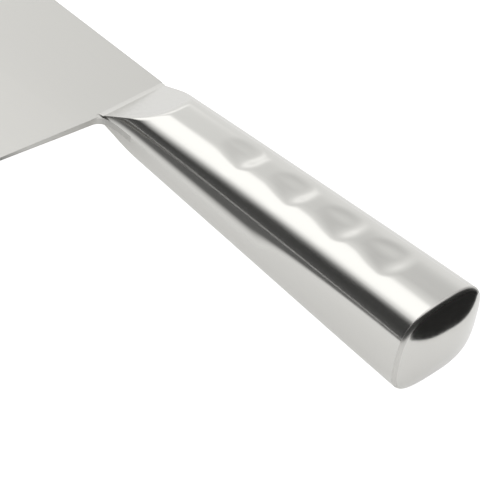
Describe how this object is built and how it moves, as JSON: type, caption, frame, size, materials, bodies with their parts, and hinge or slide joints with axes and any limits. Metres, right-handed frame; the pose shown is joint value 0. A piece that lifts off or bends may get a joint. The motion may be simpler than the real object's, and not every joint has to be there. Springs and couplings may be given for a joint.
{
  "type": "chinese cleaver",
  "caption": "Broad rectangular sheet-steel kitchen cleaver with a welded hollow steel handle, finger dimples and a domed butt cap.",
  "frame": {"origin": "under the middle of the knife's bounding box, as it lies on its side", "axes": "+X along the knife from the blade's front edge to the butt, +Y from the cutting edge to the spine, +Z square to the blade"},
  "size_m": [0.3275, 0.0939, 0.0258],
  "materials": {
    "blade_steel": "satin ground stainless steel",
    "handle_steel": "polished stainless steel",
    "weld_steel": "ground and polished weld metal"
  },
  "bodies": {
    "root": {"blade": "blade_steel", "upper_half_shell": "handle_steel", "lower_half_shell": "handle_steel", "butt_cap": "handle_steel", "neck_bead_upper": "weld_steel", "neck_bead_lower": "weld_steel", "seam_bead_spine": "weld_steel", "seam_bead_edge": "weld_steel", "butt_bead": "weld_steel"}
  },
  "joints": []
}
